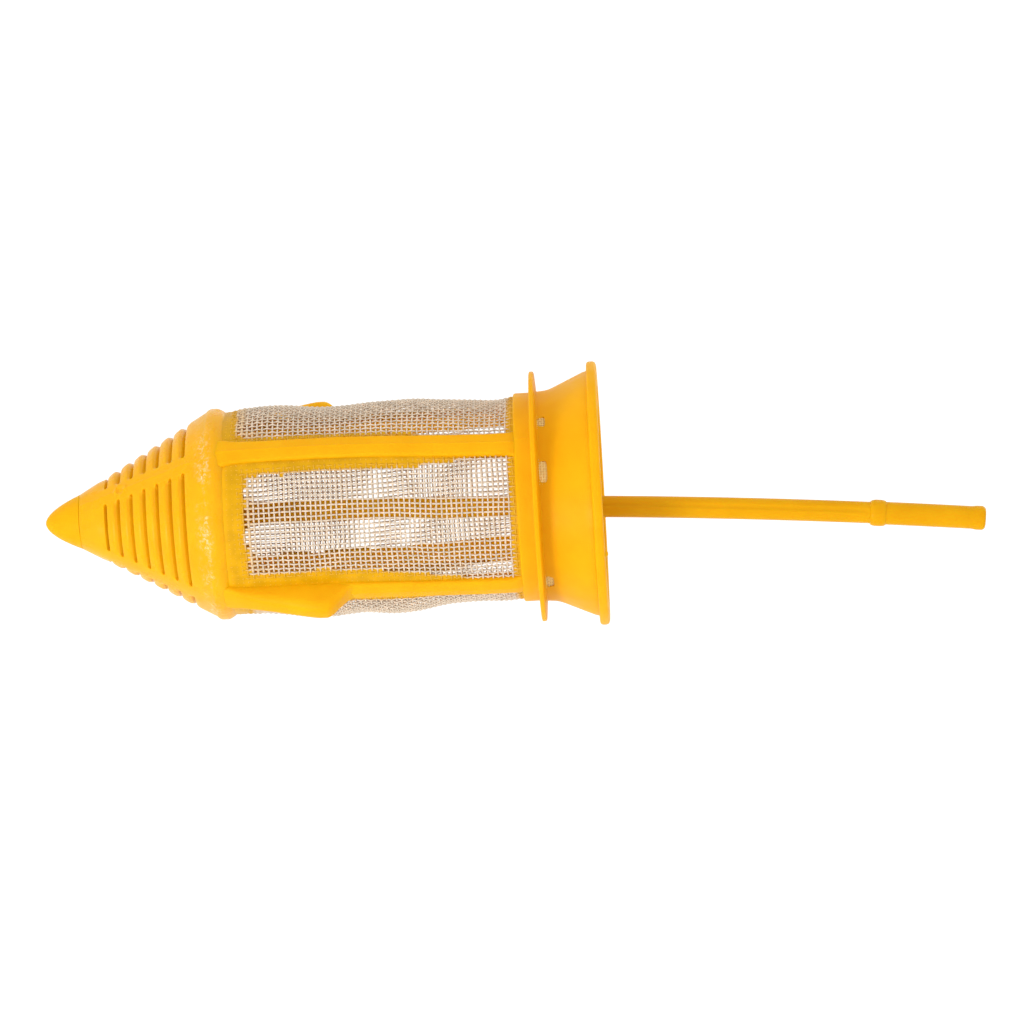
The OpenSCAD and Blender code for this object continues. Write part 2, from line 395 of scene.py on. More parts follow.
def nose_rows():
    """Rows of the cone from its small end: (height, drop, slot edge). The slot edge is -1 at
    the lower edge of a slot, 1 at its upper edge and 0 elsewhere."""
    slots_low = FIRST_SLOT_TOP - SLOT_H
    rows = [(h, 0.0, 0) for h in (0.0, 0.12, 0.5, 1.0, 1.5, 2.0, 2.4)]
    for h in spread(2.7, slots_low, 0.18):
        rows.append((h, 0.75 * smooth(h, 2.9, slots_low + 0.25), 0))
    rows[-1] = (slots_low, rows[-1][1], -1)
    for i in range(SLOT_COUNT - 1):
        low, high = slot_top(i), slot_top(i + 1) - SLOT_H
        for t in BLADE_PLACES:
            edge = 1 if t == 0 else -1 if t == 1 else 0
            rows.append((mix(low, high, t), 1 - blade_rise(t), edge))
    top = slot_top(SLOT_COUNT - 1)
    rows.append((top, 1.0, 1))
    for h in (0.03, 0.1, 0.2, 0.32, 0.5):
        rows.append((top + h, 1 - blade_rise(h / 1.3), 0))
    rows += [(h, 0.0, 0) for h in spread(top + 0.65, RING_Z - CONE_Z, 0.5)]
    return rows


def nose_columns():
    """Columns round the cone: (spine number, place across the spine or None, place in the
    sector or None). Places across a spine go from -1 to 1, and in a sector from 0 to 1."""
    ends = [0.0, 0.006, 0.014, 0.026, 0.045, 0.07, 0.1, 0.14]
    middle = [0.14 + 0.72 * i / 16 for i in range(1, 16)]
    places = ends + middle + [1 - e for e in reversed(ends[1:])]
    columns = []
    for side in range(4):
        columns += [(side, u, None) for u in SPINE_PLACES]
        columns += [(side, None, v) for v in places]
    return columns


def spine_detail(side, across, height):
    """Mould parting line on two of the spines, and the scar of the gate on one of them: a
    shallow pit with a raised rim."""
    if side % 2 == 0:
        return 0.0
    line = 0.07 * (1 - smooth(abs(across), 0.05, 0.2))
    if side == GATE_SPINE:
        distance = math.hypot((height - GATE_H) / 1.1, across / 0.75)
        line += 0.24 * smooth(distance, 0.45, 0.8) * (1 - smooth(distance, 0.85, 1.15))
        line -= 0.14 * (1 - smooth(distance, 0.3, 0.6))
    return line


def make_nose_cone():
    """Louvred cone: a shell with slots between the arched blades of its four sectors."""
    rows, columns = nose_rows(), nose_columns()
    slots_high = slot_top(SLOT_COUNT - 1)
    outer, inner = [], []
    for side, across, place in columns:
        outer_column, inner_column = [], []
        for number, (height, drop, edge) in enumerate(rows):
            radius = cone_r(height)
            half = math.degrees(math.asin(SPINE_W / 2 / radius))
            if place is None:
                angle = 90 * side + math.degrees(math.asin(across * SPINE_W / 2 / radius))
                weight = 0.0
                closing = 1.0
            else:
                angle = 90 * side + mix(half, 90 - half, place)
                arc = min(place, 1 - place) * math.radians(90 - 2 * half) * radius
                weight = smooth(arc, -0.1, 0.9)
                closing = 1 - smooth(arc, -0.15, 0.35)
            # slots narrow to rounded ends
            height += edge * -0.36 * SLOT_H * closing
            radius = cone_r(height)
            skin = radius - SKIN_INSET - blade_drop(angle) * drop * weight
            if place is None:
                skin += spine_detail(side, across, height)
            outer_column.append(polar(skin, angle, CONE_Z + height))
            # inside: the spigot's hole, then the cone's floor, then its wall with slanted slots
            slant = smooth(height, 2.2, 3.4) * (1 - smooth(height, slots_high, slots_high + 2.5))
            level = height + SLOT_SLANT * slant
            if level < CONE_FLOOR + 0.5:
                level = CONE_FLOOR + 0.1 * (number - 3)
            inner_r = cone_r(level) - CONE_WALL
            if number < 3:
                inner_r, level = SPIGOT_R, (0.0, 1.0, CONE_FLOOR)[number]
            inner_column.append(polar(inner_r, angle, CONE_Z + level))
        outer.append(outer_column)
        inner.append(inner_column)

    def keep(i, j):
        in_slot = rows[j][2] == -1 and rows[j + 1][2] == 1
        spine_cell = columns[i][1] is not None
        return spine_cell or not in_slot

    points, faces = shell(outer, inner, keep, wrap=True)
    return add_piece("nose_cone_skin", points, faces, welded,
                     replaces=["nose_cone"])


def make_nose_tip():
    """Pointed cap: its radius grows as a power of the distance from the apex."""
    tip_h = CONE_Z - TIP_Z
    profile = [(0, TIP_Z)]
    for i in range(1, 31):
        t = (i / 30) ** 1.7
        profile.append((CONE_SMALL_R * 0.98 * t**0.55, TIP_Z + (tip_h - 0.12) * t))
    profile += [
        (CONE_SMALL_R * 0.97, CONE_Z - 0.05),
        (CONE_SMALL_R * 0.94, CONE_Z - 0.01),
        (SPIGOT_R - 0.03, CONE_Z - 0.01),
        (SPIGOT_R - 0.03, CONE_Z + CONE_FLOOR - 0.3),
        (SPIGOT_R - 0.3, CONE_Z + CONE_FLOOR - 0.05),
        (0, CONE_Z + CONE_FLOOR - 0.05),
    ]
    points, faces = revolve(profile)
    return add_piece("nose_tip_cap", points, faces, moulded,
                     replaces=["nose_tip"])


RING_STEPS = 240


def make_weld_ring():
    """Ring whose skin and cage edge are uneven where plastic has flowed over the mesh."""
    # (distance out from the ring's radius, height above its lower edge)
    rows = [
        (-0.35, -0.25), (-0.12, 0.02), (0.0, 0.3), (0.04, 0.6), (0.05, 0.95), (0.06, 1.3),
        (0.0, 1.6), (-0.1, 1.9), (-0.25, 2.2), (-0.43, 2.5), (-0.62, 2.75), (-0.8, 2.95),
        (-1.0, 3.12),
    ]
    inner_r = COLLAR_INNER_R - 0.3
    outer, inner = [], []
    for k in range(RING_STEPS):
        angle = 360 * k / RING_STEPS
        u, v, _ = polar(6, angle, 0)  # place in the noise
        outer_column, inner_column = [], []
        for number, (out, height) in enumerate(rows):
            lump = 0.07 * ripple(u * 1.1, v * 1.1 + height * 0.9, 1)
            lump += 0.035 * ripple(u * 3.3, v * 3.3 + height * 2.6, 2)
            lump *= smooth(height, -0.2, 0.5)
            run = 0.22 * ripple(u * 0.9, v * 0.9, 3) * smooth(height, 1.6, 3.0)
            outer_column.append(polar(RING_R - 0.09 + out + lump, angle, RING_Z + height + run))
            level = mix(0, RING_TOP - RING_Z, number / (len(rows) - 1))
            inner_column.append(polar(inner_r, angle, RING_Z + level))
        outer.append(outer_column)
        inner.append(inner_column)
    points, faces = shell(outer, inner, lambda i, j: True, wrap=True)
    return add_piece("weld_ring_skin", points, faces, welded,
                     replaces=["weld_ring"])


# ---------------------------------------------------------------- ribs
RIB_START = RING_TOP - 1.4  # inside the weld ring
LATCH_CROWN_Z = -36.9
LATCH_END_Z = -30.9


def twist(z):
    """Angle by which the cage is wrung at a height: -2.2 degrees at the ring, 2 at the collar."""
    return -2.2 + 4.2 * smooth(z, -36, -3)


def rib_section(z, width, face_r, root_r, side, crown=0.0, line=0.0, round_r=0.4):
    """Closed section of a rib across the axis, with rounded outer corners.

    crown lifts the middle of its face, and line adds a fine ridge along that middle."""
    half = width / 2
    flank = [(half, root_r - face_r)]
    for k in range(7):
        a = math.radians(15 * k)
        flank.append((half - round_r * (1 - math.cos(a)), -round_r * (1 - math.sin(a))))
    flank += [((half - round_r) * u, 0.0) for u in (0.75, 0.5, 0.25, 0.07, 0.03)]
    across = [(-t, depth) for t, depth in flank] + [(0.0, 0.0)] + flank[::-1]
    section = []
    for t, depth in across:
        ridge = line * (1 - smooth(abs(t), 0.02, 0.14)) if depth == 0 else 0.0
        radius = face_r + depth + ridge + crown * (1 - abs(t / half))
        section.append(polar(radius, 90 * side + twist(z) + math.degrees(t / radius), z))
    return section


def rib_width(z, side):
    """Width of a rib, which flares out where it meets the weld ring and the collar."""
    width = RIB_W - 0.1 + 1.3 * math.exp(-max(z - RING_TOP, 0) / 1.6)
    width += 0.9 * math.exp(-max(COLLAR_Z - z, 0) / 0.7)
    return width + 0.09 * ripple(z * 0.45, side * 3.7, 4)


def make_ribs():
    """Four ribs from the weld ring to the collar; two of them carry the mould's parting line."""
    names = ["latch_rib_a", "plain_rib_a", "latch_rib_b", "plain_rib_b"]
    for side, name in enumerate(names):
        sections = []
        for z in spread(RIB_START, COLLAR_Z + 0.4, 0.4):
            face = RIB_FACE_R - SKIN_INSET + 0.05 * ripple(z * 0.25, side * 2.1, 5)
            face -= 0.15 * (1 - smooth(z, RIB_START, RING_TOP + 0.5))
            face += (COLLAR_R - RIB_FACE_R - 0.25) * math.exp(-max(COLLAR_Z - z, 0) / 0.6)
            line = 0.0
            if side % 2:
                # prouder over the last stretch before the collar
                line = 0.03 + 0.06 * smooth(z, -14, -9) * (1 - smooth(z, -3.4, -2.9))
            sections.append(rib_section(z, rib_width(z, side), face, RIB_INNER_R, side, 0.22, line))
        points, faces = loft(sections)
        add_piece(name + "_skin", points, faces, moulded, replaces=[name])


def latch_rise(z):
    """Height of a snap latch over its rib: a ramp that eases into its crown, then a soft step."""
    climb = min((z - RIB_START) / (LATCH_CROWN_Z - RIB_START), 1.0)
    ramp = mix(0.02, 1.0, 1 - (1 - climb) ** 1.15)
    fall = smooth(z, LATCH_CROWN_Z + 1.0, LATCH_END_Z)
    return (LATCH_R - RIB_FACE_R) * ramp * (1 - fall)


def make_latches():
    """Two snap latches, each over the nose end of a rib and as wide as the rib is there."""
    for side, name in ((0, "snap_latch_a"), (2, "snap_latch_b")):
        sections = []
        for z in spread(RIB_START, LATCH_END_Z, 0.3):
            top = latch_rise(z)
            width = rib_width(z, side) + 0.08 - 0.25 * smooth(z, LATCH_CROWN_Z + 2, LATCH_END_Z)
            sections.append(rib_section(z, width, RIB_FACE_R - 0.05 + top, RIB_INNER_R + 0.2, side,
                                        0.04, 0.0, min(1.5, 0.4 + 0.45 * top)))
        points, faces = loft(sections)
        add_piece(name + "_skin", points, faces, moulded, replaces=[name])


# ---------------------------------------------------------------- mouth
WINDOW_H = 1.3
WINDOW_Z = (FLANGE_T + FLARE_Z) / 2
# (angle, width, taper) of the windows on one half of the neck; the other half repeats them
WINDOWS = [(-100.5, 2.1, 0.12), (-69.5, 3.7, 0.0), (-2.0, 2.9, -0.1)]
PARTING_ANGLES = (-90, 90, 270)  # the mould's parting line; -90 and 270 are one place


def bell_r(z):
    """Outer radius of the neck and the flare, which run into each other in a soft curve."""
    reach = 1.4
    slope = (FLARE_R - 0.12 - NECK_R) / (FLARE_TOP - 0.7 - FLARE_Z)
    u = z - FLARE_Z
    if abs(u) < reach:
        u = (u + reach) ** 2 / (4 * reach)
    return NECK_R + slope * max(u, 0.0)


def mouth_rows():
    """Rows of the mouth's wall from the collar's end to the lip:
    (outer radius, outer height, inner radius, inner height, window edge). The window edge is -1
    at the lower edge of the windows, 1 at their upper edge and 0 elsewhere."""
    neck_in = NECK_R - FUNNEL_WALL
    lip_in = FLARE_R - FUNNEL_WALL
    window_low, window_high = WINDOW_Z - WINDOW_H / 2, WINDOW_Z + WINDOW_H / 2
    rows = [
        (COLLAR_R - 0.45, COLLAR_Z, COLLAR_INNER_R + 0.15, COLLAR_Z + 0.02, 0),
        (COLLAR_R - 0.2, COLLAR_Z + 0.05, COLLAR_INNER_R + 0.04, COLLAR_Z + 0.1, 0),
        (COLLAR_R - 0.05, COLLAR_Z + 0.18, COLLAR_INNER_R, COLLAR_Z + 0.3, 0),
        (COLLAR_R, COLLAR_Z + 0.4, COLLAR_INNER_R, COLLAR_Z + 0.6, 0),
        (COLLAR_R, COLLAR_Z / 2, COLLAR_INNER_R, COLLAR_Z / 2, 0),
        (COLLAR_R, -0.35, COLLAR_INNER_R, -0.5, 0),
        (COLLAR_R + 0.05, -0.12, COLLAR_INNER_R, -0.3, 0),
        (COLLAR_R + 0.2, 0.0, COLLAR_INNER_R, -0.1, 0),
        (COLLAR_R + 1.5, 0.0, COLLAR_INNER_R, 0.05, 0),
        (FLANGE_R - 0.3, 0.0, COLLAR_INNER_R, 0.2, 0),
        (FLANGE_R - 0.1, 0.05, COLLAR_INNER_R, 0.32, 0),
        (FLANGE_R, 0.18, COLLAR_INNER_R, 0.44, 0),
        (FLANGE_R, 0.55, COLLAR_INNER_R, 0.56, 0),
        (FLANGE_R - 0.06, 0.72, COLLAR_INNER_R, 0.68, 0),
        (FLANGE_R - 0.25, 0.82, COLLAR_INNER_R, 0.8, 0),
        (FLANGE_R - 1.6, 0.93, COLLAR_INNER_R, 0.92, 0),
        (NECK_R + 0.25, FLANGE_T, COLLAR_INNER_R, FLANGE_T, 0),
        (NECK_R + 0.08, FLANGE_T + 0.05, COLLAR_INNER_R + 0.25, FLANGE_T + 0.02, 0),
        (NECK_R, FLANGE_T + 0.14, neck_in, FLANGE_T + 0.06, 0),
        (NECK_R, window_low, neck_in, window_low, -1),
        (bell_r(window_high), window_high, neck_in, window_high, 1),
    ]
    flare = spread(FLARE_Z + 0.05, FLARE_Z + 1.4, 0.3)
    flare += spread(FLARE_Z + 2.1, FLARE_TOP - 0.7, 0.8)
    for z in flare:
        rows.append((bell_r(z), z, bell_r(z) - FUNNEL_WALL - 0.02, z, 0))
    face = [
        (FLARE_R, FLARE_TOP - 0.25), (FLARE_R + 0.06, FLARE_TOP - 0.06),
        (FLARE_R + 0.3, FLARE_TOP + 0.02), (LIP_R - 0.5, FLARE_TOP + 0.06),
        (LIP_R - 0.25, FLARE_TOP + 0.12), (LIP_R - 0.07, FLARE_TOP + 0.3),
        (LIP_R, FLARE_TOP + 0.55), (LIP_R, LIP_TOP - 0.65), (LIP_R - 0.05, LIP_TOP - 0.42),
        (LIP_R - 0.2, LIP_TOP - 0.2), (LIP_R - 0.5, LIP_TOP - 0.06), (LIP_R - 0.8, LIP_TOP),
        (lip_in + 0.5, LIP_TOP), (lip_in + 0.2, LIP_TOP - 0.06),
    ]
    for k, (out, height) in enumerate(face):
        t = (k + 1) / len(face)
        rows.append((out, height, lip_in, mix(FLARE_TOP - 0.6, LIP_TOP - 0.25, t), 0))
    return rows


def mouth_columns():
    """Columns round the mouth: (angle, place across a window from -1 to 1 or None, taper)."""
    spans = []
    for turn in (0, 180):
        for centre, width, taper in WINDOWS:
            half = math.degrees(math.asin(width / 2 / NECK_R))
            spans.append(((centre + turn) % 360, half, taper))
    spans.sort()
    columns = []
    for n, (centre, half, taper) in enumerate(spans):
        for k in range(-9, 10):
            place = math.sin(math.radians(10 * k))
            columns.append((centre + place * half, place, taper))
        following = spans[(n + 1) % len(spans)]
        gap_end = following[0] - following[1] + (360 if n + 1 == len(spans) else 0)
        gap = spread(centre + half, gap_end, 1.5)[1:-1]
        for line in PARTING_ANGLES:
            near = [line + d for d in (-0.5, -0.25, 0, 0.25, 0.5)]
            if gap and gap[0] < near[0] and near[-1] < gap[-1]:
                gap = [a for a in gap if abs(a - line) > 0.8] + near
        columns += [(angle, None, 0.0) for angle in sorted(gap)]
    return columns


def make_mouth():
    """Collar, seat flange, neck with its windows, flare and lip, moulded as one."""
    rows, columns = mouth_rows(), mouth_columns()
    outer, inner = [], []
    for angle, place, taper in columns:
        outer_column, inner_column = [], []
        parting = min(abs((angle - line + 180) % 360 - 180) for line in PARTING_ANGLES)
        for out, out_z, inn, inn_z, edge in rows:
            turn = 0.0
            if edge and place is not None:
                rounded = max(0.4, (1 - abs(place) ** 4) ** 0.25)
                out_z = inn_z = WINDOW_Z + edge * WINDOW_H / 2 * rounded
                turn = math.degrees(edge * taper * place / NECK_R)
            if out_z < -0.3:
                out += 0.05 * (1 - smooth(parting, 0.05, 0.45))
            outer_column.append(polar(out, angle + turn, out_z))
            inner_column.append(polar(inn, angle + turn, inn_z))
        outer.append(outer_column)
        inner.append(inner_column)

    def keep(i, j):
        following = (i + 1) % len(columns)
        between = columns[i][1] is not None and columns[following][1] is not None
        return not (between and rows[j][4] == -1)

    points, faces = shell(outer, inner, keep, wrap=True)
    return add_piece("funnel_mouth", points, faces, moulded, sharp=28,
                     replaces=["collar", "seat_flange", "funnel_neck", "funnel_flare", "mouth_lip"])


def make_gate_nub():
    """Stub that the moulding gate left on the face of the lip."""
    low, high = box_mm("gate_nub")
    profile = [
        (0, low.z - 0.05), (0.58, low.z - 0.05), (0.52, low.z + 0.12), (0.42, low.z + 0.28),
        (0.36, low.z + 0.38), (0.26, high.z), (0, high.z + 0.02),
    ]
    centre = (low + high) / 2
    points, faces = revolve(profile, 24, Matrix.Translation((centre.x, centre.y, 0)))
    return add_piece("gate_nub_skin", points, faces, moulded,
                     replaces=["gate_nub"])


# ---------------------------------------------------------------- woven panels
CLOTH_R = 16.95
THREAD_R = 0.147
THREAD_SIDES = 5
WARP_PITCH = 0.816
WEFT_PITCH = 0.867
EDGE_ANGLE = math.degrees(RIB_W / 2 / CLOTH_R)
CLOTH_ARC = math.radians(90 - 2 * EDGE_ANGLE) * CLOTH_R
CLOTH_LEN = COLLAR_Z - RING_TOP
WARPS = round(CLOTH_ARC / WARP_PITCH)
WEFTS = round(CLOTH_LEN / WEFT_PITCH)
# Per panel: its slack as (height, bulge, half length) places, and the reach of the bled plastic
# from the weld ring, from the panel's first rib and from its second
PANELS = {
    "mesh_panel_a": ([(-37.0, 1.3, 6.5), (-23.5, 1.35, 7.0), (-5.5, 0.3, 3.0)], 3.2, 1.6, 2.0),
    "mesh_panel_b": ([(-43.0, 0.7, 6.0), (-24.0, 0.6, 7.0)], 0.9, 0.9, 0.8),
    "mesh_panel_c": ([(-44.5, 0.85, 6.0), (-22.5, 0.65, 8.0), (-7.0, -0.45, 4.0)], 2.4, 1.8, 1.0),
    "mesh_panel_d": ([(-38.0, 0.55, 6.5), (-17.0, 0.4, 7.0)], 3.5, 2.6, 3.0),
}


def cloth_point(side, name, arc, z, lift=0.0):
    """Point of a panel's cloth: arc runs from one rib to the next, and lift stands it proud."""
    arch = math.sin(math.pi * min(max(arc / CLOTH_ARC, 0.0), 1.0)) ** 0.7
    level = z + 1.5 * ripple(arc / 9, 0, side)
    slack = sum(bulge * math.exp(-((level - middle) / half) ** 2)
                for middle, bulge, half in PANELS[name][0])
    ends = smooth(z, RING_TOP - 0.6, RING_TOP + 2.4)
    ends *= 1 - smooth(z, COLLAR_Z - 2.5, COLLAR_Z + 0.5)
    pucker = 0.13 * ripple(arc / 4.2, z / 4.6, 10 + side)
    radius = CLOTH_R + arch * ends * (slack + pucker) + lift
    return polar(radius, 90 * side + twist(z) + EDGE_ANGLE + math.degrees(arc / CLOTH_R), z)


def warp_arc(i, z, side):
    """Where warp thread i runs at a height: straight but for slow wanders."""
    wander = 0.16 * ripple(z / 6.5, i * 0.22, 20 + side)
    wander += 0.05 * ripple(z / 2.0, i * 0.9, 30 + side)
    return (i + 0.5) * CLOTH_ARC / WARPS + wander


def weft_z(j, arc, side):
    """Height of weft thread j along the arc: level but for slow wanders."""
    wander = 0.2 * ripple(arc / 6.0, j * 0.16, 40 + side)
    wander += 0.05 * ripple(arc / 2.2, j * 0.8, 50 + side)
    return RING_TOP + (j + 0.5) * CLOTH_LEN / WEFTS + wander


def film_depth(side, name, arc, z):
    """How far inside the bled plastic a point of the cloth is; below 0 it is outside."""
    ring, first, second = PANELS[name][1:]
    u = (z - RING_TOP) / CLOTH_LEN
    fade = 1 - 0.35 * u - 0.75 * smooth(u, 0.55, 0.98)
    swell = 1 + 0.25 * math.sin(math.pi * smooth(u, 0.1, 0.6))
    from_ring = ring + 0.55 * ripple(arc / 2.6, 1.0, 60 + side) - (z - RING_TOP)
    from_first = first * fade + 0.35 * ripple(z / 3.1, 2.0, 62 + side) - arc
    from_second = second * fade * swell + 0.35 * ripple(z / 3.4, 3.0, 64 + side) - (CLOTH_ARC - arc)
    from_collar = 1.1 + 0.25 * ripple(arc / 2.2, 4.0, 66 + side) - (COLLAR_Z - z)
    from_corner = 1.6 - math.hypot(min(arc, CLOTH_ARC - arc), z - RING_TOP - ring) * 0.9
    return max(from_ring, from_first, from_second, from_collar, from_corner)


def lay_thread(points, faces, coats, stations):
    """Adds a capped thread through (centre, coat, girth) stations, its section square to its
    run. coats gets the coat of each point, and girth is the share of the thread's full size."""
    first = len(points)
    centres = [centre for centre, _, _ in stations]
    for k, (centre, coat, girth) in enumerate(stations):
        run = (centres[min(k + 1, len(centres) - 1)] - centres[max(k - 1, 0)]).normalized()
        sideways = run.cross(Vector((centre.x, centre.y, 0)).normalized()).normalized()
        out = sideways.cross(run)
        for n in range(THREAD_SIDES):
            a = 2 * math.pi * n / THREAD_SIDES
            spoke = out * math.cos(a) + sideways * math.sin(a)
            points.append(centre + spoke * THREAD_R * girth)
            coats.append(coat)
    faces += band_faces(first, len(stations), THREAD_SIDES)
    faces.append(list(reversed(range(first, first + THREAD_SIDES))))
    faces.append(list(range(len(points) - THREAD_SIDES, len(points))))


def weave(side, name):
    """Plain weave of a panel: every thread goes over and under the threads that it crosses."""
    points, faces, coats = [], [], []
    sway = THREAD_R * 1.05

    def station(arc, z, lift):
        # threads are knotted and thicker beside the bled plastic near the weld ring
        depth = film_depth(side, name, arc, z)
        knot = math.exp(-((depth + 0.6) / 0.7) ** 2) * (1 - smooth(z, RING_TOP + 5, RING_TOP + 9))
        soaked = min(smooth(depth, -0.1, 0.5) + 0.35 * knot, 1.0)
        return cloth_point(side, name, arc, z, lift), soaked, 1 + 0.5 * knot

    for i in range(WARPS):
        stations = [station(warp_arc(i, RING_TOP, side), RING_TOP - 0.4, 0.0)]
        for step in range(2 * WEFTS - 1):
            j = step / 2
            z = weft_z(j, (i + 0.5) * CLOTH_ARC / WARPS, side)
            lift = 0.0 if step % 2 else sway * (1 if (i + step // 2) % 2 else -1)
            stations.append(station(warp_arc(i, z, side), z, lift))
        stations.append(station(warp_arc(i, COLLAR_Z, side), COLLAR_Z + 0.4, 0.0))
        lay_thread(points, faces, coats, stations)
    for j in range(WEFTS):
        stations = [station(-0.35, weft_z(j, 0.0, side), 0.0)]
        for step in range(2 * WARPS - 1):
            i = step / 2
            arc = warp_arc(i, RING_TOP + (j + 0.5) * CLOTH_LEN / WEFTS, side)
            lift = 0.0 if step % 2 else sway * (-1 if (step // 2 + j) % 2 else 1)
            stations.append(station(arc, weft_z(j, arc, side), lift))
        stations.append(station(CLOTH_ARC + 0.35, weft_z(j, CLOTH_ARC, side), 0.0))
        lay_thread(points, faces, coats, stations)
    return points, faces, coats


def add_coat(piece, coats):
    """Stores how much plastic has soaked each point, for the coated materials."""
    layer = piece.data.attributes.new("coat", "FLOAT", "POINT")
    layer.data.foreach_set("value", coats)


def make_panels():
    """The four woven panels; the first one's hem shows in the neck."""
    hem = make_hem()
    for side, name in enumerate(PANELS):
        points, faces, coats = weave(side, name)
        piece = add_piece(name + "_weave", points, faces, nylon, sharp=75,
                          replaces=[name])
        add_coat(piece, coats)


def weave_patch(points, faces, coats, angle, width, height):
    """Small dense weave in the neck's wall, on a backing of the plastic that soaked it."""
    pitch, radius, soaked = 0.46, NECK_R - 0.24, 0.1
    warps, wefts = round(width / pitch), round(height / pitch)

    def place(i, j, lift):
        arc = (i - (warps - 1) / 2) * pitch
        z = WINDOW_Z + (j - (wefts - 1) / 2) * pitch
        return polar(radius + lift, angle + math.degrees(arc / radius), z)

    def lift(i, j):
        return THREAD_R * (1 if (i + j) % 2 else -1)

    for i in range(warps):
        lay_thread(points, faces, coats,
                   [(place(i, j, lift(i, j)), soaked, 1.0) for j in range(-1, wefts + 1)])
    for j in range(wefts):
        lay_thread(points, faces, coats,
                   [(place(i, j, -lift(i, j)), soaked, 1.0) for i in range(-1, warps + 1)])
    skins = [[[place(i, j, depth) for j in range(-1, wefts + 1)] for i in range(-1, warps + 1)]
             for depth in (-0.1, -0.45)]
    more, more_faces = shell(*skins, lambda i, j: True, wrap=False)
    faces += [[corner + len(points) for corner in face] for face in more_faces]
    points += more
    coats += [0.8] * len(more)


def make_hem():
    """Hem of the mesh, moulded into the neck's wall, where the windows show it."""
    points, faces, coats = [], [], []
    for turn in (0, 180):
        for centre, width, _ in WINDOWS:
            weave_patch(points, faces, coats, centre + turn, width + 0.9, WINDOW_H + 0.6)
    piece = add_piece("neck_hem", points, faces, soaked_nylon, sharp=75)
    add_coat(piece, coats)
    return piece


def film_cells(side, name):
    """Cells of the weave that bled plastic has filled, with no two meeting only at a corner."""
    filled = set()
    half_way = -30  # the height at which the cells' places across the panel are read
    for i in range(-1, WARPS):
        start = max(warp_arc(i, half_way, side), 0)
        end = min(warp_arc(i + 1, half_way, side), CLOTH_ARC)
        for j in range(-1, WEFTS):
            arc = (start + end) / 2
            z = RING_TOP + (j + 1) * CLOTH_LEN / WEFTS
            if film_depth(side, name, arc, z) > 0:
                filled.add((i, j))
    growing = True
    while growing:
        growing = False
        for i in range(-1, WARPS):
            for j in range(-1, WEFTS):
                for step in (1, -1):
                    pair = {(i, j), (i + step, j + 1)}
                    other = {(i + step, j), (i, j + 1)}
                    if pair <= filled and not other & filled:
                        filled.add((i, j + 1))
                        growing = True
    return filled


def film_line(n, part, low, high, count, line):
    """Place between grid lines n and n + 1, where lines -1 and count are the window's edges."""
    start = low if n < 0 else line(n)
    end = high if n + 1 >= count else line(n + 1)
    return mix(start, end, part)


FILM_STEPS = 3  # steps of the film's grid across each cell of the weave


def make_films():
    """Plastic that bled into the mesh at the edges of each panel and filled its cells."""
    for side, name in enumerate(PANELS):
        filled = film_cells(side, name)
        outer, inner, coats = [], [], []
        for a in range((WARPS + 1) * FILM_STEPS + 1):
            i, part = divmod(a, FILM_STEPS)
            outer_column, inner_column, coat_column = [], [], []
            for b in range((WEFTS + 1) * FILM_STEPS + 1):
                j, rest = divmod(b, FILM_STEPS)
                z = film_line(j - 1, rest / FILM_STEPS, RING_TOP - 0.3, COLLAR_Z + 0.3, WEFTS,
                              lambda n: weft_z(n, (i - 0.5) * CLOTH_ARC / WARPS, side))
                arc = film_line(i - 1, part / FILM_STEPS, -0.3, CLOTH_ARC + 0.3, WARPS,
                                lambda n: warp_arc(n, z, side))
                depth = film_depth(side, name, arc, z)
                thick = mix(0.0, 0.25, smooth(depth, 0.0, 2.0))
                thick += 0.03 * ripple(arc * 1.1, z * 1.1, 70 + side)
                outer_column.append(cloth_point(side, name, arc, z, thick))
                inner_column.append(cloth_point(side, name, arc, z, -0.13))
                coat_column.append(smooth(depth, 2.4, 4.6))
            outer.append(outer_column)
            inner.append(inner_column)
            coats.append(coat_column)

        def keep(a, b):
            return (a // FILM_STEPS - 1, b // FILM_STEPS - 1) in filled

        origins = []
        points, faces = shell(outer, inner, keep, wrap=False, origins=origins)
        piece = add_piece(name.replace("mesh_panel", "bled_film"), points, faces, film_yellow,
                          sharp=60)
        add_coat(piece, [0.0 if inside else coats[a][b] for inside, a, b in origins])


# ---------------------------------------------------------------- pull rod
STOP_START = STOP_Z - SOCKET_MOUTH_Z  # distance along the rod
ROD_LEN = STOP_START + STOP_H + GRIP_LEN
ROD_END_H = 0.8  # length of the rounding at the rod's end
ROD_SIDES = 96
FLUTE_ANGLE = 82
FLUTE_HALF = 17
FLUTE_DEPTH = 0.2


def rod_point(s, angle, radius):
    """Point on a circle round the rod's curve, at distance s from the mouth of its socket."""
    bend = s / BEND_R
    centre = Vector((BEND_R * (1 - math.cos(bend)), 0, SOCKET_MOUTH_Z + BEND_R * math.sin(bend)))
    along_x = Vector((math.cos(bend), 0, -math.sin(bend)))
    a = math.radians(angle)
    local = centre + (along_x * math.cos(a) + Vector((0, 1, 0)) * math.sin(a)) * radius
    return Matrix.Rotation(math.radians(BEND_ANGLE), 3, "Z") @ local


